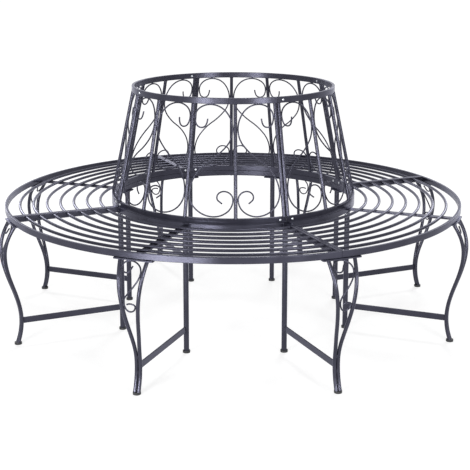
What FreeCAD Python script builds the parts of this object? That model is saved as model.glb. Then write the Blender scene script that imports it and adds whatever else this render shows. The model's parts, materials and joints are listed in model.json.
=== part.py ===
"""Round tree bench of powder-coated steel tube, built from four bolted quarter sections on eight legs.

Lengths are millimetres. The origin is on the floor under the centre of the ring, with +Z up.
The four seams lie on the diagonals, so every section has its middle on the X or Y axis.
"""
import FreeCAD, Part
import math
import os
from FreeCAD import Vector, Placement, Rotation

# How many of each
SECTION_COUNT = 4
LEG_COUNT = 8
PANEL_COUNT = 4
ROD_COUNT = 7

# Rectangular tube of all four rings
RAIL_HEIGHT = 20.0
RAIL_THICKNESS = 10.0
RAIL_WALL = 1.2
RAIL_CORNER = 1.5
SEAM_GAP = 1.0

# Seat
SEAT_TOP = 444.0
SEAT_OUTER_RADIUS = 800.0
SEAT_INNER_RADIUS = 421.0
ROD_DIAMETER = 10.0
ROD_WALL = 1.0
ROD_RECESS = 2.0
BEARER_WIDTH = 25.0
BEARER_THICKNESS = 5.0

# Backrest. The lean is how much smaller the top rail's radius is than the bottom rail's.
BACK_TOP = 842.0
BACK_LEAN = 76.0
POST_DIAMETER = 12.0
POST_WALL = 1.0
SCROLL_WIRE = 5.0

# Legs. The outer leg's curve is given from the middle of the rim that it carries, outwards.
LEG_TOP_OUTSET = 1.0
BULGE_OUTSET = 34.5
BULGE_HEIGHT = 322.0
WAIST_OUTSET = -18.0
WAIST_HEIGHT = 85.0
FOOT_OUTSET = -1.0
LEG_TUBE = 12.0
LEG_TUBE_WALL = 1.2
SPLIT_HEIGHT = 135.0
SPLIT_BLEND = 30.0
SPLIT_FLARE = 0.133
INNER_LEG_INSET = 4.0
INNER_LEG_TUBE = 18.0
INNER_LEG_WALL = 1.2
STRETCHER_BOTTOM = 72.0
STRETCHER_HEIGHT = 20.0
STRETCHER_THICKNESS = 5.0
STRETCHER_SEAT = 1.0
LEG_SCROLL_LOW = 269.5
PAD_DIAMETER = 25.0
PAD_HEIGHT = 8.0
PAD_EDGE = 1.0

# Plates that carry the rings on the legs. The gap is between a tube and the bolt head beside it.
PLATE_THICKNESS = 4.0
PLATE_WIDTH = 20.0
PLATE_CORNER = 4.0
PLATE_END = 9.0
OUTER_BOLT_GAP = 1.5
INNER_BOLT_GAP = 11.0

# Bolts, nuts and the spigots inside the rail joints
BOLT_DIAMETER = 4.0
HEX_WIDTH = 7.0
HEX_HEAD_HEIGHT = 2.8
BUTTON_DIAMETER = 7.6
BUTTON_HEIGHT = 2.2
SOCKET_WIDTH = 2.5
SOCKET_DEPTH = 1.3
NUT_HEIGHT = 3.2
BOLT_END = 1.0
BUSH_HEIGHT = 8.0
JOINT_BOLT_OFFSET = 21.5
SPIGOT_LENGTH = 64.0

# Clearances
HOLE_CLEARANCE = 0.15
SPIGOT_CLEARANCE = 0.2
NUT_CLEARANCE = 0.05
TUBE_CLEARANCE = 0.1
WIRE_CLEARANCE = 0.1

# Worked out from the sizes above
HALF_ANGLE = 180.0 / SECTION_COUNT
SEAT_BOTTOM = SEAT_TOP - RAIL_HEIGHT
LEG_TOP = SEAT_BOTTOM - PLATE_THICKNESS
OUTER_RIM_MIDDLE = SEAT_OUTER_RADIUS - RAIL_THICKNESS / 2
OUTER_RIM_INSIDE = SEAT_OUTER_RADIUS - RAIL_THICKNESS
INNER_RIM_MIDDLE = SEAT_INNER_RADIUS + RAIL_THICKNESS / 2
INNER_RIM_OUTSIDE = SEAT_INNER_RADIUS + RAIL_THICKNESS
ROD_HEIGHT = SEAT_TOP - ROD_RECESS - ROD_DIAMETER / 2
BACK_FOOT = SEAT_TOP + RAIL_HEIGHT
BACK_HEAD = BACK_TOP - RAIL_HEIGHT
BACK_TOP_RADIUS = SEAT_INNER_RADIUS - BACK_LEAN
BACK_TOP_MIDDLE = BACK_TOP_RADIUS + RAIL_THICKNESS / 2
LEG_TOP_RADIUS = OUTER_RIM_MIDDLE + LEG_TOP_OUTSET
BULGE_RADIUS = OUTER_RIM_MIDDLE + BULGE_OUTSET
WAIST_RADIUS = OUTER_RIM_MIDDLE + WAIST_OUTSET
FOOT_RADIUS = OUTER_RIM_MIDDLE + FOOT_OUTSET
INNER_LEG_RADIUS = INNER_RIM_MIDDLE - INNER_LEG_INSET
TUBE_PAIR_HALF = LEG_TUBE / 2 + TUBE_CLEARANCE
HOLE_RADIUS = BOLT_DIAMETER / 2 + HOLE_CLEARANCE
UP = Vector(0, 0, 1)
ORIGIN = Vector(0, 0, 0)


def polar(radius, degrees, height=0.0):
    angle = math.radians(degrees)
    return Vector(radius * math.cos(angle), radius * math.sin(angle), height)


def turned(shape, degrees):
    """Copy of a shape turned about the middle of the bench."""
    copy = shape.copy()
    copy.rotate(ORIGIN, UP, degrees)
    return copy


def around(shapes, count):
    """Copies of some shapes at even steps round the bench."""
    return [turned(shape, step * 360.0 / count) for step in range(count) for shape in shapes]


def slab(low, high):
    """Everything between two heights."""
    return Part.makeCylinder(2 * SEAT_OUTER_RADIUS, high - low, Vector(0, 0, low))


def sector(inset):
    """The space of one section, held back by inset from both of its seams."""
    apex = inset / math.sin(math.radians(HALF_ANGLE))
    reach = 2 * SEAT_OUTER_RADIUS
    spread = (reach - apex) * math.tan(math.radians(HALF_ANGLE))
    corners = [Vector(apex, 0, 0), Vector(reach, -spread, 0), Vector(reach, spread, 0), Vector(apex, 0, 0)]
    return Part.Face(Part.makePolygon(corners)).extrude(UP * 2 * BACK_TOP)


def rounded_outline(x_low, x_high, z_low, z_high, corner):
    """Rectangle with round corners in the XZ plane."""
    centres = [(x_high - corner, z_high - corner), (x_low + corner, z_high - corner),
               (x_low + corner, z_low + corner), (x_high - corner, z_low + corner)]
    arcs = []
    for quarter, (x, z) in enumerate(centres):
        ends = []
        for degrees in (90 * quarter, 90 * quarter + 45, 90 * quarter + 90):
            angle = math.radians(degrees)
            ends.append(Vector(x + corner * math.cos(angle), 0, z + corner * math.sin(angle)))
        arcs.append(ends)
    edges = []
    for arc, following in zip(arcs, arcs[1:] + arcs[:1]):
        edges.append(Part.Arc(*arc).toShape())
        edges.append(Part.LineSegment(arc[2], following[0]).toShape())
    return Part.Wire(edges)


def inner_corner(inset):
    """Corner radius of a rail's outline at some depth, never sharper than a quarter of the outer one."""
    return max(RAIL_CORNER - inset, RAIL_CORNER / 4)


def rail_outline(inner_radius, bottom, inset):
    return rounded_outline(inner_radius + inset, inner_radius + RAIL_THICKNESS - inset,
                           bottom + inset, bottom + RAIL_HEIGHT - inset, inner_corner(inset))


def hollow_face(outside, inside):
    return Part.makeFace([outside, inside], "Part::FaceMakerBullseye")


def swung(face, from_degrees, to_degrees):
    """Face from the XZ plane, swung about the Z axis between two directions."""
    face.rotate(ORIGIN, UP, from_degrees)
    return face.revolve(ORIGIN, UP, to_degrees - from_degrees)


def rail(inner_radius, bottom, drills):
    """One section's length of a ring, with its bolt holes."""
    face = hollow_face(rail_outline(inner_radius, bottom, 0), rail_outline(inner_radius, bottom, RAIL_WALL))
    tube = swung(face, -HALF_ANGLE - 1, HALF_ANGLE + 1).common(sector(SEAM_GAP / 2))
    return tube.cut(drills)


def hex_prism(width, height):
    """Hexagon bar along Z, as wide as given across its flats."""
    corner_radius = width / math.sqrt(3)
    corners = [polar(corner_radius, 60 * step) for step in range(7)]
    return Part.Face(Part.makePolygon(corners)).extrude(UP * height)


def arc_middle(start, direction, end):
    """Middle of the arc that leaves start along direction and ends at end, or None for a straight line."""
    chord = end - start
    sideways = chord - direction * chord.dot(direction)
    if sideways.Length < 1e-6:
        return None
    radius = chord.dot(chord) / (2 * sideways.Length)
    centre = start + sideways.normalize() * radius
    outward = (start - centre) + (end - centre)
    return centre + outward.normalize() * radius


def arc_edge(start, middle, end):
    if middle is None:
        return Part.LineSegment(start, end).toShape()
    return Part.Arc(start, middle, end).toShape()


def two_arcs(start, start_direction, end, end_direction):
    """Two arcs that meet smoothly and join two points with given directions."""
    chord = end - start
    both = start_direction + end_direction
    square = 2 * (1 - start_direction.dot(end_direction))
    linear = 2 * chord.dot(both)
    if square < 1e-9:
        reach = chord.dot(chord) / linear
    else:
        reach = (math.sqrt(linear ** 2 + 4 * square * chord.dot(chord)) - linear) / (2 * square)
    joint = (start + end + (start_direction - end_direction) * reach) * 0.5
    first = arc_middle(start, start_direction, joint)
    second = arc_middle(end, end_direction * -1, joint)
    return [arc_edge(start, first, joint), arc_edge(joint, second, end)]


def rod_along(nodes, diameter):
    """Round rod through nodes, each a point and the direction of travel there."""
    edges = []
    for (start, start_direction), (end, end_direction) in zip(nodes, nodes[1:]):
        edges += two_arcs(start, start_direction, end, end_direction)
    profile = Part.Wire([Part.makeCircle(diameter / 2, nodes[0][0], nodes[0][1])])
    return Part.Wire(edges).makePipeShell([profile], True, False)


def straight_tube(start, end, diameter, wall):
    axis = end - start
    outside = Part.makeCylinder(diameter / 2, axis.Length, start, axis)
    inside = Part.makeCylinder(diameter / 2 - wall, axis.Length, start, axis)
    return outside.cut(inside)


# Bolts and where they go

def outer_bolt_side():
    """How far a bolt stands to the side of its leg, clear of the outer tube."""
    return leg_spread(LEG_TOP) + LEG_TUBE / 2 + OUTER_BOLT_GAP + HEX_WIDTH / math.sqrt(3)


def inner_bolt_side():
    return INNER_LEG_TUBE / 2 + INNER_BOLT_GAP + HEX_WIDTH / math.sqrt(3)


def leg_bolt_places(ring_middle, side):
    """Centres of the two bolts that hold one leg plate to the ring above it."""
    return [Vector(math.sqrt(ring_middle ** 2 - side ** 2), side * sign, 0) for sign in (-1, 1)]


def back_bolt_places():
    """Centres of the two bolts per section that hold the back on the seat."""
    return [polar(INNER_RIM_MIDDLE, side * HALF_ANGLE / 2) for side in (-1, 1)]


def upright_drills(places, low, high):
    return [Part.makeCylinder(HOLE_RADIUS, high - low, place + UP * low) for place in places]


def leg_drills(places):
    """Holes in one rim for the bolts of its own leg and of the legs under both seams."""
    drills = upright_drills(places, SEAT_BOTTOM - 1, SEAT_BOTTOM + RAIL_HEIGHT / 2)
    return [turned(drill, degrees) for degrees in (-HALF_ANGLE, 0, HALF_ANGLE) for drill in drills]


def joint_bolt_angle(ring_middle):
    return math.degrees(math.asin(JOINT_BOLT_OFFSET / ring_middle))


def radial_drill(ring_middle, height, degrees):
    start = polar(ring_middle - RAIL_THICKNESS, degrees, height)
    return Part.makeCylinder(HOLE_RADIUS, 2 * RAIL_THICKNESS, start, polar(1, degrees))


def hex_bolt(length):
    """Hexagon bolt with its head under the origin and its shank pointing up."""
    head = hex_prism(HEX_WIDTH, HEX_HEAD_HEIGHT)
    head.translate(Vector(0, 0, -HEX_HEAD_HEIGHT))
    return head.fuse(Part.makeCylinder(BOLT_DIAMETER / 2, length)).removeSplitter()


def joint_bolt(ring_middle, height, degrees):
    """Button-head bolt through a rail, from the outside to the middle of the bench."""
    dome_radius = (BUTTON_DIAMETER ** 2 / 4 + BUTTON_HEIGHT ** 2) / (2 * BUTTON_HEIGHT)
    dome = Part.makeSphere(dome_radius, Vector(0, 0, BUTTON_HEIGHT - dome_radius))
    head = dome.common(Part.makeCylinder(BUTTON_DIAMETER, BUTTON_HEIGHT))
    socket = hex_prism(SOCKET_WIDTH, BUTTON_HEIGHT)
    socket.translate(UP * (BUTTON_HEIGHT - SOCKET_DEPTH))
    shank_length = RAIL_THICKNESS + NUT_HEIGHT + BOLT_END
    shank = Part.makeCylinder(BOLT_DIAMETER / 2, shank_length, Vector(0, 0, -shank_length))
    bolt = head.cut(socket).fuse(shank).removeSplitter()
    return placed_radially(bolt, ring_middle + RAIL_THICKNESS / 2, height, degrees)


def joint_nut(ring_middle, height, degrees):
    nut = hex_prism(HEX_WIDTH, NUT_HEIGHT)
    nut = nut.cut(Part.makeCylinder(HOLE_RADIUS, NUT_HEIGHT))
    seat = ring_middle - RAIL_THICKNESS / 2 - NUT_CLEARANCE
    return placed_radially(nut, seat - NUT_HEIGHT, height, degrees)


def placed_radially(shape, radius, height, degrees):
    """Shape with its Z axis laid along a spoke of the bench."""
    lay_down = Rotation(Vector(0, 1, 0), 90)
    shape.Placement = Placement(polar(radius, degrees, height), Rotation(UP, degrees).multiply(lay_down))
    return shape


# Seat

def seat_outer_rim():
    places = leg_bolt_places(OUTER_RIM_MIDDLE, outer_bolt_side())
    return rail(OUTER_RIM_INSIDE, SEAT_BOTTOM, leg_drills(places))


def seat_inner_rim():
    drills = leg_drills(leg_bolt_places(INNER_RIM_MIDDLE, inner_bolt_side()))
    drills += upright_drills(back_bolt_places(), SEAT_BOTTOM - 1, SEAT_TOP + 1)
    return rail(SEAT_INNER_RADIUS, SEAT_BOTTOM, drills)


def seat_rods():
    """Round rods bent to rings with even gaps, between the two end bars."""
    pitch = (OUTER_RIM_MIDDLE - INNER_RIM_MIDDLE) / (ROD_COUNT + 1)
    space = sector(SEAM_GAP / 2 + RAIL_THICKNESS)
    rods = []
    for step in range(1, ROD_COUNT + 1):
        centre = Vector(INNER_RIM_MIDDLE + step * pitch, 0, ROD_HEIGHT)
        outlines = [Part.Wire([Part.makeCircle(radius, centre, Vector(0, 1, 0))])
                    for radius in (ROD_DIAMETER / 2, ROD_DIAMETER / 2 - ROD_WALL)]
        rods.append(swung(hollow_face(*outlines), -HALF_ANGLE, HALF_ANGLE).common(space))
    return rods


def seat_cross_bars():
    """Tube on edge at both seams, and a flat strip under the rods in the middle."""
    span = SEAT_OUTER_RADIUS - SEAT_INNER_RADIUS
    between_rims = Part.makeCylinder(OUTER_RIM_INSIDE, SEAT_TOP)
    between_rims = between_rims.cut(Part.makeCylinder(INNER_RIM_OUTSIDE, SEAT_TOP))
    bars = []
    for side in (-1, 1):
        start = (side * (SEAM_GAP + RAIL_THICKNESS) - RAIL_THICKNESS) / 2
        face = hollow_face(rail_outline(start, SEAT_BOTTOM, 0), rail_outline(start, SEAT_BOTTOM, RAIL_WALL))
        bar = face.extrude(Vector(0, -span, 0))
        bar.translate(Vector(0, -SEAT_INNER_RADIUS, 0))
        bars.append(turned(bar, 90 - side * HALF_ANGLE).common(between_rims))
    bearer_bottom = ROD_HEIGHT - ROD_DIAMETER / 2 - BEARER_THICKNESS
    strip = Part.makeBox(span, BEARER_WIDTH, BEARER_THICKNESS,
                         Vector(SEAT_INNER_RADIUS, -BEARER_WIDTH / 2, bearer_bottom))
    bars.append(strip.common(between_rims))
    return bars


# Backrest

def back_top_rail():
    bolt = -HALF_ANGLE + joint_bolt_angle(BACK_TOP_MIDDLE)
    drill = radial_drill(BACK_TOP_MIDDLE, BACK_HEAD + RAIL_HEIGHT / 2, bolt)
    return rail(BACK_TOP_RADIUS, BACK_HEAD, [drill])


def back_bottom_rail():
    drills = upright_drills(back_bolt_places(), SEAT_TOP - 1, SEAT_TOP + RAIL_HEIGHT / 2)
    for side in (-1, 1):
        bolt = side * (HALF_ANGLE - joint_bolt_angle(INNER_RIM_MIDDLE))
        drills.append(radial_drill(INNER_RIM_MIDDLE, SEAT_TOP + RAIL_HEIGHT / 2, bolt))
    return rail(SEAT_INNER_RADIUS, SEAT_TOP, drills)


def post_line(index):
    """Bottom and top of a post's centre line. The two end posts stand beside the seams."""
    degrees = -HALF_ANGLE + index * 2 * HALF_ANGLE / PANEL_COUNT
    shift = Vector(0, 0, 0)
    if index in (0, PANEL_COUNT):
        side = 1 if index == 0 else -1
        shift = polar((SEAM_GAP + POST_DIAMETER) / 2, degrees + 90 * side)
    foot = polar(INNER_RIM_MIDDLE, degrees, BACK_FOOT) + shift
    head = polar(BACK_TOP_MIDDLE, degrees, BACK_HEAD) + shift
    return foot, head


def back_posts():
    """Leaning tubes, cut level where they meet both rails."""
    between_rails = slab(BACK_FOOT, BACK_HEAD)
    posts = []
    for index in range(PANEL_COUNT + 1):
        foot, head = post_line(index)
        overlength = (head - foot).normalize() * POST_DIAMETER
        post = straight_tube(foot - overlength, head + overlength, POST_DIAMETER, POST_WALL)
        posts.append(post.common(between_rails))
    return posts


def panel_point(spine_post, hook_post, across, up):
    """Point in a back panel. Across runs from -1 at the spine's post to 1 at the hook's, up from 0 to 1."""
    margin = SCROLL_WIRE / 2 + WIRE_CLEARANCE
    height_share = (margin + up * (BACK_HEAD - BACK_FOOT - 2 * margin)) / (BACK_HEAD - BACK_FOOT)
    spine_side = spine_post[0] + (spine_post[1] - spine_post[0]) * height_share
    hook_side = hook_post[0] + (hook_post[1] - hook_post[0]) * height_share
    width = hook_side - spine_side
    clear_half = width.Length / 2 - POST_DIAMETER / 2 - margin
    return (spine_side + hook_side) * 0.5 + width.normalize() * (across * clear_half)


# Turning points of a back scroll: across and up its panel, then the direction of travel.
BACK_SCROLL_NODES = [
    (0.32, 0.872, 0, -1),
    (0.62, 0.792, 1, 0),
    (1.0, 0.889, 0, 1),
    (0.19, 1.0, -1, 0),
    (-1.0, 0.783, 0, -1),
    (0.05, 0.507, 0.81, -0.58),
    (1.0, 0.21, 0, -1),
    (-0.12, 0.0, -1, 0),
    (-1.0, 0.157, 0, 1),
    (-0.6, 0.229, 1, 0),
    (-0.27, 0.173, 0, -1),
    (-0.51, 0.118, -0.8, -0.6),
]


def back_scroll(spine_post, hook_post):
    nodes = []
    for across, up, go_across, go_up in BACK_SCROLL_NODES:
        here = panel_point(spine_post, hook_post, across, up)
        right = panel_point(spine_post, hook_post, across + 0.01, up) - here
        above = panel_point(spine_post, hook_post, across, up + 0.01) - here
        travel = right.normalize() * go_across + above.normalize() * go_up
        nodes.append((here, travel.normalize()))
    return rod_along(nodes, SCROLL_WIRE)


def back_scrolls():
    """One scroll in every panel, mirrored from panel to panel."""
    scrolls = []
    for panel in range(PANEL_COUNT):
        posts = [post_line(panel), post_line(panel + 1)]
        if panel % 2 == 0:
            posts.reverse()
        scrolls.append(back_scroll(*posts))
    return scrolls


# Legs, all drawn on the +X axis and turned into place

def leg_radius(height):
    """How far the outer leg stands from the middle of the bench at a height."""
    if height < WAIST_HEIGHT:
        return WAIST_RADIUS + (FOOT_RADIUS - WAIST_RADIUS) * (1 - height / WAIST_HEIGHT) ** 2
    if height < BULGE_HEIGHT:
        swing = math.pi * (height - WAIST_HEIGHT) / (BULGE_HEIGHT - WAIST_HEIGHT)
        return (WAIST_RADIUS + BULGE_RADIUS) / 2 - (BULGE_RADIUS - WAIST_RADIUS) / 2 * math.cos(swing)
    above = (height - BULGE_HEIGHT) / (LEG_TOP - BULGE_HEIGHT)
    return BULGE_RADIUS - (BULGE_RADIUS - LEG_TOP_RADIUS) * above ** 2


def leg_spread(height):
    """Half the distance between the twin tubes' centres at a height."""
    over = height - SPLIT_HEIGHT
    if over <= -SPLIT_BLEND:
        return TUBE_PAIR_HALF
    if over >= SPLIT_BLEND:
        return TUBE_PAIR_HALF + SPLIT_FLARE * over
    return TUBE_PAIR_HALF + SPLIT_FLARE * (over + SPLIT_BLEND) ** 2 / (4 * SPLIT_BLEND)


def leg_point(height, share):
    """Point on the surface between the twin tubes, with share -1 and 1 on their centre lines."""
    return Vector(leg_radius(height), share * leg_spread(height), height)


def leg_node(height, side):
    step = 0.05
    rise = leg_point(height + step, side) - leg_point(height - step, side)
    return leg_point(height, side), rise.normalize()


def outer_leg_rods(diameter):
    """The twin outer tubes as solid rods, trimmed between the foot pad and the plate."""
    heights = [0.0, WAIST_HEIGHT / 2, WAIST_HEIGHT, SPLIT_HEIGHT - SPLIT_BLEND, SPLIT_HEIGHT + SPLIT_BLEND,
               (SPLIT_HEIGHT + BULGE_HEIGHT) / 2, BULGE_HEIGHT, (BULGE_HEIGHT + LEG_TOP) / 2,
               LEG_TOP + PLATE_THICKNESS]
    trim = slab(PAD_HEIGHT, LEG_TOP)
    rods = []
    for side in (-1, 1):
        rods.append(rod_along([leg_node(height, side) for height in heights], diameter).common(trim))
    return rods


def outer_leg_tubes(rods):
    bores = outer_leg_rods(LEG_TUBE - 2 * LEG_TUBE_WALL)
    return [rod.cut(bore) for rod, bore in zip(rods, bores)]


def inner_leg_tube():
    return straight_tube(Vector(INNER_LEG_RADIUS, 0, PAD_HEIGHT), Vector(INNER_LEG_RADIUS, 0, LEG_TOP),
                         INNER_LEG_TUBE, INNER_LEG_WALL)


def stretcher(rods):
    """Flat bar on edge from the inner leg into the groove of the twin tubes, shaped to both."""
    side_step = TUBE_PAIR_HALF - STRETCHER_THICKNESS / 2
    end = WAIST_RADIUS - math.sqrt((LEG_TUBE / 2) ** 2 - side_step ** 2) + STRETCHER_SEAT
    bar = Part.makeBox(end - INNER_LEG_RADIUS, STRETCHER_THICKNESS, STRETCHER_HEIGHT,
                       Vector(INNER_LEG_RADIUS, -STRETCHER_THICKNESS / 2, STRETCHER_BOTTOM))
    leg = Part.makeCylinder(INNER_LEG_TUBE / 2, LEG_TOP, Vector(INNER_LEG_RADIUS, 0, 0))
    return bar.cut([leg] + rods)


def leg_plate(middle_radius, bolt_places):
    reach = bolt_places[1].y + PLATE_END
    plate = Part.makeBox(PLATE_WIDTH, 2 * reach, PLATE_THICKNESS,
                         Vector(middle_radius - PLATE_WIDTH / 2, -reach, LEG_TOP))
    corners = [edge for edge in plate.Edges if abs(edge.tangentAt(edge.FirstParameter).z) > 0.9]
    return plate.makeFillet(PLATE_CORNER, corners).cut(upright_drills(bolt_places, LEG_TOP, SEAT_BOTTOM))


# Turning points of a leg scroll: across and up the space between the tubes, then the direction of travel.
LEG_SCROLL_NODES = [
    (0.08, 0.9125, -0.45, -0.89),
    (-0.47, 0.783, -1, 0),
    (-1.0, 0.871, 0, 1),
    (-0.22, 1.0, 1, 0),
    (1.0, 0.779, 0, -1),
    (0.3, 0.485, -0.6, -0.8),
    (-1.0, 0.155, 0, -1),
    (-0.05, 0.0, 1, 0),
    (1.0, 0.112, 0, 1),
    (0.1, 0.174, -1, 0),
    (-0.5, 0.152, -0.83, -0.56),
]


def leg_scroll_point(across, up):
    margin = SCROLL_WIRE / 2 + WIRE_CLEARANCE
    height = LEG_SCROLL_LOW + up * (LEG_TOP - margin - LEG_SCROLL_LOW)
    clear_half = leg_spread(height) - LEG_TUBE / 2 - margin
    return Vector(leg_radius(height), across * clear_half, height)


def leg_scroll():
    nodes = []
    for across, up, go_across, go_up in LEG_SCROLL_NODES:
        here = leg_scroll_point(across, up)
        above = leg_scroll_point(across, up + 0.01) - leg_scroll_point(across, up - 0.01)
        travel = Vector(0, 1, 0) * go_across + above.normalize() * go_up
        nodes.append((here, travel.normalize()))
    return rod_along(nodes, SCROLL_WIRE)


def foot_pad(radius):
    pad = Part.makeCylinder(PAD_DIAMETER / 2, PAD_HEIGHT, Vector(radius, 0, 0))
    rims = [edge for edge in pad.Edges if isinstance(edge.Curve, Part.Circle)]
    return pad.makeFillet(PAD_EDGE, rims)


# Joints between sections

def spigot(inner_radius, bottom, bolt_sides):
    """Curved bar inside two rail ends, drilled for the bolts of the sides named."""
    middle = inner_radius + RAIL_THICKNESS / 2
    half = math.degrees(math.asin(SPIGOT_LENGTH / 2 / middle))
    inset = RAIL_WALL + SPIGOT_CLEARANCE
    bar = swung(Part.Face(rail_outline(inner_radius, bottom, inset)), HALF_ANGLE - half, HALF_ANGLE + half)
    bolt = joint_bolt_angle(middle)
    height = bottom + RAIL_HEIGHT / 2
    return bar.cut([radial_drill(middle, height, HALF_ANGLE + side * bolt) for side in bolt_sides])


def joint_places():
    """Middle radius, height and direction of the three bolts at the seam on the +X side."""
    top = HALF_ANGLE + joint_bolt_angle(BACK_TOP_MIDDLE)
    low = joint_bolt_angle(INNER_RIM_MIDDLE)
    low_height = SEAT_TOP + RAIL_HEIGHT / 2
    return [(BACK_TOP_MIDDLE, BACK_HEAD + RAIL_HEIGHT / 2, top),
            (INNER_RIM_MIDDLE, low_height, HALF_ANGLE - low),
            (INNER_RIM_MIDDLE, low_height, HALF_ANGLE + low)]


def lifted(shape, place, height):
    copy = shape.copy()
    copy.translate(place + UP * height)
    return copy


def threaded_bush():
    """Bush that stands on the floor of a hollow rail, between the round corners of its bore."""
    bush_radius = RAIL_THICKNESS / 2 - RAIL_WALL - inner_corner(RAIL_WALL)
    return Part.makeCylinder(bush_radius, BUSH_HEIGHT).cut(Part.makeCylinder(HOLE_RADIUS, BUSH_HEIGHT))


def save(name, shapes):
    """Write one STEP file, after making sure that every solid in it is sound."""
    solids = [solid for shape in shapes for solid in shape.Solids]
    for solid in solids:
        if not solid.isValid() or solid.Volume <= 0:
            raise ValueError(name + " has a broken solid")
    whole = solids[0] if len(solids) == 1 else Part.makeCompound(solids)
    whole.exportStep(os.path.join("parts", name + ".step"))
    print(name, len(solids), round(whole.Volume / 1000, 2))


def save_sections():
    pieces = {
        "seat_outer_rim": [seat_outer_rim()],
        "seat_inner_rim": [seat_inner_rim()],
        "seat_rods": seat_rods(),
        "seat_cross_bars": seat_cross_bars(),
        "back_top_rail": [back_top_rail()],
        "back_bottom_rail": [back_bottom_rail()],
        "back_posts": back_posts(),
        "back_scrolls": back_scrolls(),
    }
    for name, shapes in pieces.items():
        for section in range(SECTION_COUNT):
            degrees = section * 360.0 / SECTION_COUNT
            save(f"{name}_{section + 1}", [turned(shape, degrees) for shape in shapes])


def save_legs():
    rods = outer_leg_rods(LEG_TUBE)
    outer_tubes = outer_leg_tubes(rods)
    inner_tube = inner_leg_tube()
    for leg in range(LEG_COUNT):
        degrees = leg * 360.0 / LEG_COUNT
        save(f"leg_outer_tubes_{leg + 1}", [turned(tube, degrees) for tube in outer_tubes])
        save(f"leg_inner_tube_{leg + 1}", [turned(inner_tube, degrees)])
    outer_places = leg_bolt_places(OUTER_RIM_MIDDLE, outer_bolt_side())
    inner_places = leg_bolt_places(INNER_RIM_MIDDLE, inner_bolt_side())
    save("leg_stretchers", around([stretcher(rods)], LEG_COUNT))
    save("leg_outer_plates", around([leg_plate(OUTER_RIM_MIDDLE, outer_places)], LEG_COUNT))
    save("leg_inner_plates", around([leg_plate(INNER_LEG_RADIUS, inner_places)], LEG_COUNT))
    save("leg_scrolls", around([leg_scroll()], LEG_COUNT))
    save("foot_pads", around([foot_pad(INNER_LEG_RADIUS), foot_pad(leg_radius(PAD_HEIGHT))], LEG_COUNT))
    save_upright_bolts(outer_places + inner_places)


def save_upright_bolts(leg_places):
    """Bolts from below, each with its threaded bush inside the rail that it pulls down."""
    back_places = back_bolt_places()
    leg_bolt = hex_bolt(PLATE_THICKNESS + RAIL_WALL + BUSH_HEIGHT)
    back_bolt = hex_bolt(RAIL_HEIGHT + RAIL_WALL + BUSH_HEIGHT)
    bush = threaded_bush()
    bushes = around([lifted(bush, place, SEAT_BOTTOM + RAIL_WALL) for place in leg_places], LEG_COUNT)
    bushes += around([lifted(bush, place, SEAT_TOP + RAIL_WALL) for place in back_places], SECTION_COUNT)
    save("leg_bolts", around([lifted(leg_bolt, place, LEG_TOP) for place in leg_places], LEG_COUNT))
    save("back_bolts", around([lifted(back_bolt, place, SEAT_BOTTOM) for place in back_places], SECTION_COUNT))
    save("threaded_bushes", bushes)


def save_joints():
    spigots = [spigot(BACK_TOP_RADIUS, BACK_HEAD, [1]), spigot(SEAT_INNER_RADIUS, SEAT_TOP, [-1, 1])]
    save("joint_spigots", around(spigots, SECTION_COUNT))
    save("joint_bolts", around([joint_bolt(*place) for place in joint_places()], SECTION_COUNT))
    save("joint_nuts", around([joint_nut(*place) for place in joint_places()], SECTION_COUNT))


os.makedirs("parts", exist_ok=True)
save_sections()
save_legs()
save_joints()
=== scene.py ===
# %% [markdown]
# # A round tree bench of powder-coated steel
# The bench is a ring seat of bent rods with a leaning back, carried on eight curved legs.
# Its steel was shaped and welded into four sections and eight legs. These were coated, and are
# bolted together round the tree with bright bolts.
# The construction comes from CAD as a fixed frame. This lesson gives it its finish, adds the
# weld beads that the CAD leaves out, and sets up a studio and a camera.

# %% Load the fixed frame
import json
import math
import bmesh
import bpy
import numpy as np
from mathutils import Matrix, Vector
from mathutils.bvhtree import BVHTree
from mathutils.kdtree import KDTree


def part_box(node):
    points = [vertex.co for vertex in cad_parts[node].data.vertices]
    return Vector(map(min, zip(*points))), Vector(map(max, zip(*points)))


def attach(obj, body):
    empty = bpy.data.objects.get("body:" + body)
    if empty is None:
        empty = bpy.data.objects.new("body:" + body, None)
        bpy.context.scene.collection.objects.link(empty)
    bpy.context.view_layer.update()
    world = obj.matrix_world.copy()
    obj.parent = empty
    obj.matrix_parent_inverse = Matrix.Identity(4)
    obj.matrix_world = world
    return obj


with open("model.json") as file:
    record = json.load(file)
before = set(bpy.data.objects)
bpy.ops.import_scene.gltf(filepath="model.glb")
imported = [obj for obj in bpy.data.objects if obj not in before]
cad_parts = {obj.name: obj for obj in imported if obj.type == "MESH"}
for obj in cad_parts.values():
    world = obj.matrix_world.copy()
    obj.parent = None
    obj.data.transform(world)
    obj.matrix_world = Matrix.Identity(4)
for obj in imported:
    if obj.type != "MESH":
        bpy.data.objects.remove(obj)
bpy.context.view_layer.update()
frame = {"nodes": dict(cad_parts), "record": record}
nodes = frame["nodes"]
MM = 0.001

# %% [markdown]
# Sizes that this script needs are read from the frame, so they follow the CAD when it changes.
# A section lies with its middle on an axis, so the far corner of its box gives a ring's radius.

# %% Sizes read from the frame
SEAT_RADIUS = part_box("seat_outer_rim_1")[1].x
SEAT_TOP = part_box("seat_outer_rim_1")[1].z
BACK_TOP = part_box("back_top_rail_1")[1].z
print(f"seat {2 * SEAT_RADIUS:.3f} m across, {SEAT_TOP:.3f} m high; back {BACK_TOP:.3f} m high")

# %% [markdown]
# ## The camera
# The photograph was taken with a long lens, half a metre above the back's top rail and between
# two legs. The camera stands at that place. The lens is shifted down a little, which keeps the
# uprights as upright as they are in the photograph. The shift is small enough for other views.

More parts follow.
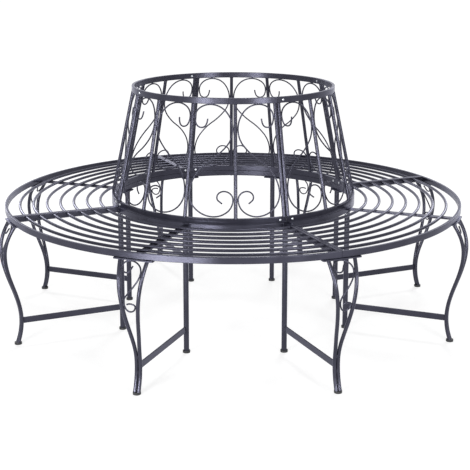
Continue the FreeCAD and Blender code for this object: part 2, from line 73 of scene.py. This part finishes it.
# %% Camera
PHOTO_SIZE = 470  # pixels, across and down
FOCAL_PIXELS = 1105.4  # the focal length, measured in those pixels
SENSOR = 36.0  # millimetres
CAMERA_PLACE = Vector((1.408, -3.586, 1.340))
CAMERA_YAW = math.radians(111.35)
CAMERA_PITCH = math.radians(11.56)
CAMERA_ROLL = math.radians(-0.04)
LENS_CENTRE_Y = 165.0  # the row of the photograph that is straight ahead of the lens
FAR_CLIP = 100

camera_data = bpy.data.cameras.new("photograph")
camera = bpy.data.objects.new("photograph", camera_data)
bpy.context.scene.collection.objects.link(camera)
camera_data.sensor_width = SENSOR
camera_data.lens = FOCAL_PIXELS * SENSOR / PHOTO_SIZE
camera_data.shift_y = (LENS_CENTRE_Y - PHOTO_SIZE / 2) / PHOTO_SIZE
camera_data.clip_end = FAR_CLIP
camera.location = CAMERA_PLACE
camera.rotation_euler = (math.pi / 2 - CAMERA_PITCH, CAMERA_ROLL, CAMERA_YAW - math.pi / 2)
bpy.context.scene.camera = camera
print(f"lens {camera_data.lens:.1f} mm, {CAMERA_PLACE.xy.length:.2f} m from the axis")

# %% [markdown]
# ## Helpers for materials
# Colours are written as sRGB hex values, the way a colour picker shows them, and one function
# turns them to the linear values that shaders need. One small function adds a node, sets its
# values and links its inputs, so that each material reads as a short recipe.

# %% Helpers for materials
def linear(hex_colour):
    """An sRGB colour such as '#7f8084' as linear red, green, blue and alpha."""
    channels = [int(hex_colour[i:i + 2], 16) / 255 for i in (1, 3, 5)]
    return [c / 12.92 if c <= 0.04045 else ((c + 0.055) / 1.055) ** 2.4 for c in channels] + [1.0]


def add(tree, kind, settings=None, **inputs):
    """Adds a node to a tree. An input is named, with _ for a space, or numbered, such as _0.
    It is given a value, or a socket of another node to link from."""
    node = tree.nodes.new(kind)
    for name, value in (settings or {}).items():
        setattr(node, name, value)
    for name, value in inputs.items():
        key = int(name[1:]) if name[1:].isdigit() else name.replace("_", " ")
        socket = node.inputs[key]
        if isinstance(value, bpy.types.NodeSocket):
            tree.links.new(value, socket)
        else:
            socket.default_value = value
    return node


def new_material(name):
    """An empty material, and its node tree."""
    material = bpy.data.materials.new(name)
    material.use_nodes = True
    tree = material.node_tree
    tree.nodes.clear()
    return material, tree


print("helpers for materials are ready")

# %% [markdown]
# A Mix node does for numbers, vectors and colours what its data type says. With colours, it
# takes them on its sockets 6 and 7, its share on socket 0, and gives the mixed one on output 2.

# %% Mixing two colours
COLOURS = {"data_type": "RGBA"}
MIXED = 2
print("colours are mixed as", COLOURS["data_type"])

# %% [markdown]
# ## Slate-grey powder coat
# Powder coat is a dry paint that is sprayed on as charged dust and baked until it flows. It
# never flows quite flat: the skin keeps a fine orange peel about 1.5 mm from bump to bump. This
# one is a dark slate with a breath of violet, half way between satin and gloss, and it is full of
# fine metal flakes. They make half of its shine that of a dark metal, which keeps its violet at
# a glancing angle, where plain paint mirrors pure white. A flake is a fraction of a millimetre,
# so the flakes are drawn at 0.9 mm to show at all. A slow cloud lets the slate vary a little.

# %% Powder coat
ORANGE_PEEL = 1.5 * MM
PEEL_HEIGHT = 0.05 * MM
FLAKE = 0.9 * MM
CLOUD = 60 * MM
DARK_SLATE, PALE_SLATE = "#2e2e38", "#393944"
FLAKE_SHEEN = "#e6e7ff"


def make_powder_coat():
    material, tree = new_material("slate_powder_coat")
    place = add(tree, "ShaderNodeTexCoord").outputs["Object"]
    cloud = add(tree, "ShaderNodeTexNoise", Vector=place, Scale=1 / CLOUD, Detail=3.0)
    shade = add(tree, "ShaderNodeMapRange", Value=cloud.outputs["Fac"],
                From_Min=0.3, From_Max=0.7)
    base = add(tree, "ShaderNodeMix", COLOURS, _0=shade.outputs[0],
               _6=linear(DARK_SLATE), _7=linear(PALE_SLATE))
    peel = add(tree, "ShaderNodeTexNoise", Vector=place, Scale=1 / ORANGE_PEEL, Detail=2.0)
    bump = add(tree, "ShaderNodeBump", Height=peel.outputs["Fac"],
               Strength=0.25, Distance=PEEL_HEIGHT)
    flake = add(tree, "ShaderNodeTexVoronoi", Vector=place, Scale=1 / FLAKE)
    rough = add(tree, "ShaderNodeMapRange", Value=flake.outputs["Distance"],
                From_Min=0.1, From_Max=0.4, To_Min=0.14, To_Max=0.25)
    skin = add(tree, "ShaderNodeBsdfPrincipled", Base_Color=base.outputs[MIXED],
               Roughness=rough.outputs[0], Normal=bump.outputs["Normal"],
               Metallic=0.5, Specular_Tint=linear(FLAKE_SHEEN))
    add(tree, "ShaderNodeOutputMaterial", Surface=skin.outputs["BSDF"])
    return material


coat = make_powder_coat()
print("made", coat.name)

# %% [markdown]
# ## Bright zinc and plain steel
# The bolts, nuts and bushes are steel, plated with zinc in a bath. That leaves a bluish silver
# with a slightly cloudy shine. The spigots inside the rails are plain steel, and hardly show.
# Both are one recipe with other numbers: a bare metal, whose grey and roughness drift together
# with a noise. Its clouds are 2 or 3 mm across.

# %% Zinc plate and plain steel
def make_metal(name, colours, roughness, grain):
    """A plated or plain metal whose shine varies with a fine grain."""
    material, tree = new_material(name)
    place = add(tree, "ShaderNodeTexCoord").outputs["Object"]
    noise = add(tree, "ShaderNodeTexNoise", Vector=place, Scale=1 / grain, Detail=4.0)
    shade = add(tree, "ShaderNodeMapRange", Value=noise.outputs["Fac"],
                From_Min=0.35, From_Max=0.65)
    colour = add(tree, "ShaderNodeMix", COLOURS, _0=shade.outputs[0],
                 _6=linear(colours[0]), _7=linear(colours[1]))
    rough = add(tree, "ShaderNodeMapRange", Value=noise.outputs["Fac"], From_Min=0.3, From_Max=0.7,
                To_Min=roughness[0], To_Max=roughness[1])
    skin = add(tree, "ShaderNodeBsdfPrincipled", Base_Color=colour.outputs[MIXED],
               Roughness=rough.outputs[0], Metallic=1.0)
    add(tree, "ShaderNodeOutputMaterial", Surface=skin.outputs["BSDF"])
    return material


zinc = make_metal("zinc_plate", colours=("#c3c6cc", "#dfe2e6"), roughness=(0.22, 0.38),
                  grain=2 * MM)
plain_steel = make_metal("plain_steel", colours=("#7d7e80", "#97989a"), roughness=(0.35, 0.55),
                         grain=3 * MM)
print("made", zinc.name, "and", plain_steel.name)

# %% [markdown]
# ## Moulded polyethylene
# The feet are black caps of polyethylene. Their skin has the fine grain of the mould, which
# makes it dull. Real mould grain is about a fifth of a millimetre, too fine to show here, so it
# is drawn at 0.8 mm. The same noise varies the black a little.

# %% Foot plastic
MOULD_GRAIN = 0.8 * MM
MOULD_DEPTH = 0.05 * MM


def make_foot_plastic():
    material, tree = new_material("moulded_polyethylene")
    place = add(tree, "ShaderNodeTexCoord").outputs["Object"]
    grain = add(tree, "ShaderNodeTexNoise", Vector=place, Scale=1 / MOULD_GRAIN, Detail=2.0)
    shade = add(tree, "ShaderNodeMapRange", Value=grain.outputs["Fac"],
                From_Min=0.3, From_Max=0.7)
    colour = add(tree, "ShaderNodeMix", COLOURS, _0=shade.outputs[0],
                 _6=linear("#17181b"), _7=linear("#222327"))
    bump = add(tree, "ShaderNodeBump", Height=grain.outputs["Fac"],
               Strength=0.3, Distance=MOULD_DEPTH)
    skin = add(tree, "ShaderNodeBsdfPrincipled", Base_Color=colour.outputs[MIXED],
               Normal=bump.outputs["Normal"], Roughness=0.55)
    add(tree, "ShaderNodeOutputMaterial", Surface=skin.outputs["BSDF"])
    return material


foot_plastic = make_foot_plastic()
print("made", foot_plastic.name)

# %% [markdown]
# ## A finish for every piece
# Each piece has one finish all over. The CAD's record names it, as the material slot of the
# piece's node, so one loop gives them all out.

# %% Finish every piece of the frame
FINISHES = {"powder_coat": coat, "zinc_plate": zinc, "bare_steel": plain_steel,
            "foot_plastic": foot_plastic}
for part in frame["record"]["subparts"]:
    piece = nodes[part["node"]]
    piece.data.materials.clear()
    piece.data.materials.append(FINISHES[part["material_slot"]])
print(len(nodes), "pieces have their finish")

# %% [markdown]
# ## Weld beads: where they go
# Inside each section every joint is welded, and the coat follows the small bead. The CAD leaves
# the beads out, but its meshes show where they belong: where the sharp rim at the end of a tube
# or bar lies on its neighbour. The bench repeats, so one section and one leg are searched.

# %% Find the rims that lie on a neighbour
NEAR = 0.9 * MM  # a rim this near to a neighbour lies on it
FLUSH = 1.0 * MM  # rims this near to the seat's top are ground flush
SEAM_CLEAR = 2.3 * MM  # the open seams between two sections stay free of beads
SHARP = math.radians(40)  # the least angle between the faces of a sharp edge
ONE_END = 4 * MM  # rims with centres nearer than this belong to one end of a tube
JOIN = 1e-6  # metres, for points that are one point


def merged(name):
    """A node's mesh with its loose triangles joined, to be read only."""
    mesh = bmesh.new()
    mesh.from_mesh(nodes[name].data)
    bmesh.ops.remove_doubles(mesh, verts=mesh.verts, dist=JOIN)
    return mesh


def surface(*names):
    """A search tree over some nodes, to find the nearest point on them."""
    mesh = bmesh.new()
    for name in names:
        mesh.from_mesh(nodes[name].data)
    return BVHTree.FromBMesh(mesh)


def sharp_rims(mesh):
    """The sharp edges of a piece in connected groups. Of a bore and its outer rim, only the rim.
    They are kept in the mesh's own order, not in a set, so that every run lays the same beads."""
    sharp = dict.fromkeys(edge for edge in mesh.edges
                          if len(edge.link_faces) == 2 and edge.calc_face_angle() > SHARP)
    rims = []
    while sharp:
        rim, ends = [], list(next(iter(sharp)).verts)
        while ends:
            for edge in ends.pop().link_edges:
                if edge in sharp:
                    del sharp[edge]
                    rim.append(edge)
                    ends.extend(edge.verts)
        centre = sum((v.co for e in rim for v in e.verts), Vector()) / (2 * len(rim))
        rims.append((sum(e.calc_length() for e in rim), centre, rim))
    rims.sort(key=lambda r: -r[0])
    return [rim for i, (_, centre, rim) in enumerate(rims)
            if all((centre - larger[1]).length > ONE_END for larger in rims[:i])]


def welded(place, neighbour):
    """True where a rim touches its neighbour, away from the open seams and below the flush top.
    The seams lie on the diagonals between the axes."""
    from_seam = abs(abs(place.x) - abs(place.y)) / math.sqrt(2)
    on_top = abs(place.z - SEAT_TOP) < FLUSH
    touching = neighbour.find_nearest(place, NEAR)[0] is not None
    return from_seam > SEAM_CLEAR and not on_top and touching


def seams(name, *neighbours):
    """Point pairs along the rims of a piece that lie on its neighbours."""
    near, mesh = surface(*neighbours), merged(name)
    edges = [[vert.co.copy() for vert in edge.verts] for rim in sharp_rims(mesh) for edge in rim]
    return [(a, b) for a, b in edges if all(welded(p, near) for p in (a, (a + b) / 2, b))]


section_seams = (seams("seat_rods_1", "seat_cross_bars_1")
                 + seams("seat_cross_bars_1", "seat_outer_rim_1", "seat_inner_rim_1")
                 + seams("back_posts_1", "back_top_rail_1", "back_bottom_rail_1"))
leg_seams = (seams("leg_outer_tubes_1", "leg_outer_plates")
             + seams("leg_inner_tube_1", "leg_inner_plates")
             + seams("leg_stretchers", "leg_outer_tubes_1", "leg_inner_tube_1"))
print(f"{sum((b - a).length for a, b in section_seams):.2f} m of seam in a section,",
      f"{sum((b - a).length for a, b in leg_seams):.2f} m on a leg")

# %% [markdown]
# Round bars that only touch side by side have no rim there. They are held by stitches: short
# beads in the groove on both sides of the place where they touch. A touch is where a piece comes
# within a fraction of a millimetre of its neighbour, and the bar's own run is found from the
# points around it.

# %% Find the places where round bars touch
def touches(name, neighbours, wedge, gap, apart):
    """The places where a piece comes within a gap of its neighbours, each with the run of the bar
    there and the way across it. Only a wedge of so many degrees on each side of +X is searched,
    and what lies nearer together than apart is one place."""
    near, mesh = surface(*neighbours), merged(name)
    places = [v.co.copy() for v in mesh.verts] + [f.calc_center_median() for f in mesh.faces]
    tree = KDTree(len(places))
    found = []
    for i, place in enumerate(places):
        tree.insert(place, i)
        if abs(math.degrees(math.atan2(place.y, place.x))) < wedge:
            hit, normal, _, distance = near.find_nearest(place, gap)
            if hit is not None:
                found.append((distance, place, normal))
    tree.balance()
    groups = []
    for _, place, normal in sorted(found, key=lambda f: f[0]):
        group = next((g for g in groups if (g[0] - place).length < apart), None)
        if group is None:
            groups.append([place, normal, []])
            group = groups[-1]
        group[2].append(place)
    for _, normal, members in groups:
        middle = sum(members, Vector()) / len(members)
        around = np.array([p for p, _, _ in tree.find_range(middle, apart)])
        run = Vector(np.linalg.svd(around - around.mean(0))[2][0])
        yield middle, run, run.cross(normal).normalized()


def stitches(places, length, groove):
    """Short paths in the grooves on both sides of each touch."""
    paths = []
    for middle, run, across in places:
        for side in (-groove, groove):
            path = [middle + across * side + run * length * share for share in (-0.5, 0, 0.5)]
            paths += [path[:2], path[1:]]
    return paths


WIRE_STITCH = {"length": 7 * MM, "groove": 1.8 * MM}
ROD_STITCH = {"length": 14 * MM, "groove": 3 * MM}

scroll_touches = [
    *touches("back_scrolls_1", ["back_posts_1"], wedge=45, gap=0.5 * MM, apart=9 * MM),
    *touches("back_scrolls_1", ["back_top_rail_1"], wedge=45, gap=1.5 * MM, apart=30 * MM)]
rod_touches = [
    *touches("seat_rods_1", ["seat_cross_bars_1"], wedge=2, gap=0.25 * MM, apart=25 * MM)]
leg_touches = [
    *touches("leg_scrolls", ["leg_outer_tubes_1", "leg_outer_plates"], wedge=22, gap=0.5 * MM,
             apart=9 * MM)]
section_stitches = stitches(scroll_touches, **WIRE_STITCH) + stitches(rod_touches, **ROD_STITCH)
leg_stitches = stitches(leg_touches, **WIRE_STITCH)
print(len(scroll_touches) + len(rod_touches), "touches in a section,",
      len(leg_touches), "on a leg")

# %% [markdown]
# The two tubes of an outer leg run side by side from the foot to where they part. Stitches hold
# them at three heights, in the groove in front and the one behind.

# %% Stitches between the twin tubes
TWIN_HEIGHTS = (30 * MM, 62 * MM, 110 * MM)
TWIN_STITCH = {"length": 9 * MM, "groove": 3.4 * MM}
ON_GROOVE = 0.3 * MM  # points this near to the plane between the tubes lie where they touch
RUN_REACH = 15 * MM  # how far up and down the run of the groove is taken

tubes = merged("leg_outer_tubes_1")
groove_line = sorted((v.co.copy() for v in tubes.verts if abs(v.co.y) < ON_GROOVE),
                     key=lambda p: p.z)
twin_places = []
for height in TWIN_HEIGHTS:
    middle = min(groove_line[1:-1], key=lambda p: abs(p.z - height))
    stretch = [p for p in groove_line if abs(p.z - middle.z) < RUN_REACH]
    run = (stretch[-1] - stretch[0]).normalized()
    twin_places.append((middle, run, run.cross(Vector((0, 1, 0))).normalized()))
leg_stitches += stitches(twin_places, **TWIN_STITCH)
print("twin tubes stitched at", [round(p.z / MM) for p, _, _ in twin_places], "mm")

# %% [markdown]
# ## Weld beads: how they are made
# A bead is a string of overlapping drops. Geometry Nodes sweep a small circle along every path
# and let it swell and shrink with the way, one swell for each drop, and a slow noise makes no two
# drops alike. Copies are then turned round the axis: one for each section, or for each leg.
# The two kinds of paths go through the same tree, with other inputs.

# %% The tree that lays beads
RING_SIDES = 8  # corners of a bead's cross-section
STEPS_IN_A_DROP = 4
UNEVEN = 4 * MM  # how far the slow noise runs before it changes
SAME_POINT = 0.01 * MM  # ends of the path this near to each other are joined


def bead_tree():
    tree = bpy.data.node_groups.new("weld_beads", "GeometryNodeTree")
    tree.interface.new_socket("Paths", in_out="INPUT", socket_type="NodeSocketGeometry")
    for name, kind in (("Bead Radius", "Float"), ("Drop Length", "Float"), ("Swell", "Float"),
                       ("Copies", "Int"), ("Finish", "Material")):
        tree.interface.new_socket(name, in_out="INPUT", socket_type="NodeSocket" + kind)
    tree.interface.new_socket("Beads", in_out="OUTPUT", socket_type="NodeSocketGeometry")
    given = add(tree, "NodeGroupInput").outputs
    joined = add(tree, "GeometryNodeMergeByDistance", Geometry=given["Paths"],
                 Distance=SAME_POINT)
    path = add(tree, "GeometryNodeMeshToCurve", Mesh=joined.outputs[0])
    step = add(tree, "ShaderNodeMath", {"operation": "DIVIDE"}, _0=given["Drop Length"],
               _1=STEPS_IN_A_DROP)
    even = add(tree, "GeometryNodeResampleCurve", {"mode": "LENGTH"}, Curve=path.outputs[0],
               Length=step.outputs[0])
    way = add(tree, "GeometryNodeSplineParameter").outputs["Length"]
    drops = add(tree, "ShaderNodeMath", {"operation": "DIVIDE"}, _0=way, _1=given["Drop Length"])
    turn = add(tree, "ShaderNodeMath", {"operation": "MULTIPLY"}, _0=drops.outputs[0],
               _1=2 * math.pi)
    wave = add(tree, "ShaderNodeMath", {"operation": "SINE"}, _0=turn.outputs[0])
    uneven = add(tree, "ShaderNodeTexNoise", Scale=1 / UNEVEN, Detail=1.0)
    # the noise runs from 0 to 1, and shifts the swell by -2 to 2
    shift = add(tree, "ShaderNodeMath", {"operation": "MULTIPLY_ADD"},
                _0=uneven.outputs["Fac"], _1=4.0, _2=-2.0)
    both = add(tree, "ShaderNodeMath", {"operation": "ADD"}, _0=wave.outputs[0],
               _1=shift.outputs[0])
    size = add(tree, "ShaderNodeMath", {"operation": "MULTIPLY_ADD"}, _0=both.outputs[0],
               _1=given["Swell"], _2=1.0)
    ring = add(tree, "GeometryNodeCurvePrimitiveCircle", Resolution=RING_SIDES,
               Radius=given["Bead Radius"])
    bead = add(tree, "GeometryNodeCurveToMesh", Curve=even.outputs[0],
               Profile_Curve=ring.outputs[0], Scale=size.outputs[0], Fill_Caps=True)
    smooth = add(tree, "GeometryNodeSetShadeSmooth", Geometry=bead.outputs[0])
    places = add(tree, "GeometryNodePoints", Count=given["Copies"])
    index = add(tree, "GeometryNodeInputIndex").outputs[0]
    share = add(tree, "ShaderNodeMath", {"operation": "DIVIDE"}, _0=index, _1=given["Copies"])
    angle = add(tree, "ShaderNodeMath", {"operation": "MULTIPLY"}, _0=share.outputs[0],
                _1=2 * math.pi)
    about = add(tree, "FunctionNodeAxisAngleToRotation", Axis=(0, 0, 1), Angle=angle.outputs[0])
    copies = add(tree, "GeometryNodeInstanceOnPoints", Points=places.outputs[0],
                 Instance=smooth.outputs[0], Rotation=about.outputs[0])
    real = add(tree, "GeometryNodeRealizeInstances", Geometry=copies.outputs[0])
    finished = add(tree, "GeometryNodeSetMaterial", Geometry=real.outputs[0],
                   Material=given["Finish"])
    add(tree, "NodeGroupOutput", Beads=finished.outputs[0])
    return tree


beads = bead_tree()
print("the tree that lays beads has", len(beads.nodes), "nodes")

# %% Lay the beads
def laid(tree, name, paths, settings):
    """A piece that a node tree makes from paths, kept as a plain mesh."""
    mesh = bpy.data.meshes.new(name)
    points = [point for pair in paths for point in pair]
    mesh.from_pydata(points, [(i, i + 1) for i in range(0, len(points), 2)], [])
    piece = bpy.data.objects.new(name, mesh)
    bpy.context.scene.collection.objects.link(piece)
    modifier = piece.modifiers.new(name, "NODES")
    modifier.node_group = tree
    for item in tree.interface.items_tree:
        if item.name in settings:
            modifier[item.identifier] = settings[item.name]
    evaluated = piece.evaluated_get(bpy.context.evaluated_depsgraph_get())
    plain = bpy.data.meshes.new_from_object(evaluated)
    piece.modifiers.clear()
    piece.data = plain
    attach(piece, "root")
    return piece


SECTIONS, LEGS = 4, 8
BEAD = {"Bead Radius": 1.4 * MM, "Drop Length": 2.4 * MM, "Swell": 0.13, "Finish": coat}
section_beads = laid(beads, "section_weld_beads", section_seams + section_stitches,
                     {**BEAD, "Copies": SECTIONS})
leg_beads = laid(beads, "leg_weld_beads", leg_seams + leg_stitches, {**BEAD, "Copies": LEGS})
for piece in (section_beads, leg_beads):
    print(piece.name, len(piece.data.polygons), "faces")

# %% [markdown]
# ## The studio
# The bench stands on a pale floor in a white room. What the camera and a mirror see of the floor
# is a lit part, which keeps the bench's soft shadow, and a glow that lifts it to white. It glows a
# little less near the bench, where more light falls. The light that the floor sends back up is
# that of grey paper, so that the undersides stay dark.

# %% What the camera and a mirror see
WHITE = linear("#ffffff")
bpy.context.scene.view_settings.view_transform = "Standard"


def seen_directly(tree):
    """1 for rays that come from the camera, a mirror or glass, and 0 for diffuse light."""
    path = add(tree, "ShaderNodeLightPath")
    mirror = add(tree, "ShaderNodeMath", {"operation": "MAXIMUM"},
                 _0=path.outputs["Is Glossy Ray"], _1=path.outputs["Is Transmission Ray"])
    seen = add(tree, "ShaderNodeMath", {"operation": "MAXIMUM"},
               _0=path.outputs["Is Camera Ray"], _1=mirror.outputs[0])
    return seen.outputs[0]


print("view transform:", bpy.context.scene.view_settings.view_transform)

# %% Floor
FLOOR_SIZE = 60  # metres
NEAR_BENCH, FAR_FROM_BENCH = 1.0, 6.0  # metres from the axis
NEAR_GLOW, FAR_GLOW = 0.69, 0.80

bpy.ops.mesh.primitive_plane_add(size=FLOOR_SIZE)
floor = bpy.context.object
floor.name = "floor"
floor_material, tree = new_material("pale_floor")
grey_paper = add(tree, "ShaderNodeBsdfDiffuse", Color=linear("#8f8f93"))
lit_part = add(tree, "ShaderNodeBsdfDiffuse", Color=linear("#b4b4b4"))
place = add(tree, "ShaderNodeTexCoord").outputs["Object"]
from_axis = add(tree, "ShaderNodeVectorMath", {"operation": "LENGTH"}, _0=place)
strength = add(tree, "ShaderNodeMapRange", Value=from_axis.outputs["Value"],
               From_Min=NEAR_BENCH, From_Max=FAR_FROM_BENCH, To_Min=NEAR_GLOW, To_Max=FAR_GLOW)
glow = add(tree, "ShaderNodeEmission", Color=WHITE, Strength=strength.outputs[0])
shown = add(tree, "ShaderNodeAddShader", _0=lit_part.outputs[0], _1=glow.outputs[0])
mixed = add(tree, "ShaderNodeMixShader", _0=seen_directly(tree), _1=grey_paper.outputs[0],
            _2=shown.outputs[0])
add(tree, "ShaderNodeOutputMaterial", Surface=mixed.outputs[0])
floor.data.materials.append(floor_material)
print("a floor of", FLOOR_SIZE, "m")

# %% [markdown]
# The room is white where it is seen, and its walls send back a soft third of that as light.

# %% World
SOFT_FILL = 0.3
world = bpy.data.worlds.new("studio")
bpy.context.scene.world = world
world.use_nodes = True
tree = world.node_tree
tree.nodes.clear()
dim = add(tree, "ShaderNodeBackground", Color=WHITE, Strength=SOFT_FILL)
bright = add(tree, "ShaderNodeBackground", Color=WHITE, Strength=1.0)
mixed = add(tree, "ShaderNodeMixShader", _0=seen_directly(tree), _1=dim.outputs[0],
            _2=bright.outputs[0])
add(tree, "ShaderNodeOutputWorld", Surface=mixed.outputs[0])
print("a white room that lights the bench at", SOFT_FILL)

# %% [markdown]
# Two boxes stand low, left and right of the camera, and light the legs and posts. A small one
# between them makes the bright spot in the middle of the top rail. Two weaker ones stand behind
# the bench, for the bright lines along its tubes, and one wide light comes from above. The outer
# rim stands upright, so from above it mirrors only what is near the floor. The bright patch at
# its front left comes from a low strip there, and an oval one lets the patch fade at its ends.

# %% Lamps
LAMP_DISTANCE = 4.0  # metres from the middle of the seat
CAMERA_SIDE = math.atan2(CAMERA_PLACE.y, CAMERA_PLACE.x)
STRIP_WIDTH, STRIP_HEIGHT, STRIP_DISTANCE = 1.0, 0.13, 1.93  # metres
SKY_WIDTH = math.radians(12)
SKY_SHARE = 0.28


def lamp(name, kind, azimuth, elevation, distance=LAMP_DISTANCE):
    """A lamp that looks at the middle of the seat. Azimuth 0 is the camera's side."""
    data = bpy.data.lights.new(name, kind)
    holder = bpy.data.objects.new(name, data)
    bpy.context.scene.collection.objects.link(holder)
    turn, rise = CAMERA_SIDE + math.radians(azimuth), math.radians(elevation)
    away = Vector((math.cos(turn) * math.cos(rise), math.sin(turn) * math.cos(rise),
                   math.sin(rise)))
    holder.location = Vector((0, 0, SEAT_TOP)) + away * distance
    holder.rotation_euler = away.to_track_quat("Z", "Y").to_euler()
    holder.visible_camera = False
    return data


def soft_box(name, azimuth, elevation, size, share, distance=LAMP_DISTANCE):
    """A square lamp. Its share is how bright it makes a white sheet that faces it."""
    data = lamp(name, "AREA", azimuth, elevation, distance)
    data.size = size
    data.energy = share * (math.pi * distance) ** 2
    return data


soft_box("left_box", azimuth=-30, elevation=6, size=1.0, share=0.55)
soft_box("right_box", azimuth=30, elevation=6, size=1.0, share=0.48)
soft_box("front_box", azimuth=-12, elevation=3, size=0.7, share=0.06)
soft_box("rear_left_box", azimuth=-145, elevation=15, size=1.0, share=0.15)
soft_box("rear_right_box", azimuth=145, elevation=15, size=1.0, share=0.09)
strip = soft_box("floor_strip", azimuth=-22.5, elevation=-10.3, size=STRIP_WIDTH, share=0.165,
                 distance=STRIP_DISTANCE)
strip.shape = "ELLIPSE"
strip.size_y = STRIP_HEIGHT
sky = lamp("sky", "SUN", azimuth=165, elevation=62)
sky.angle = SKY_WIDTH
sky.energy = SKY_SHARE * math.pi
print("five soft boxes, a strip near the floor and one wide light from above")
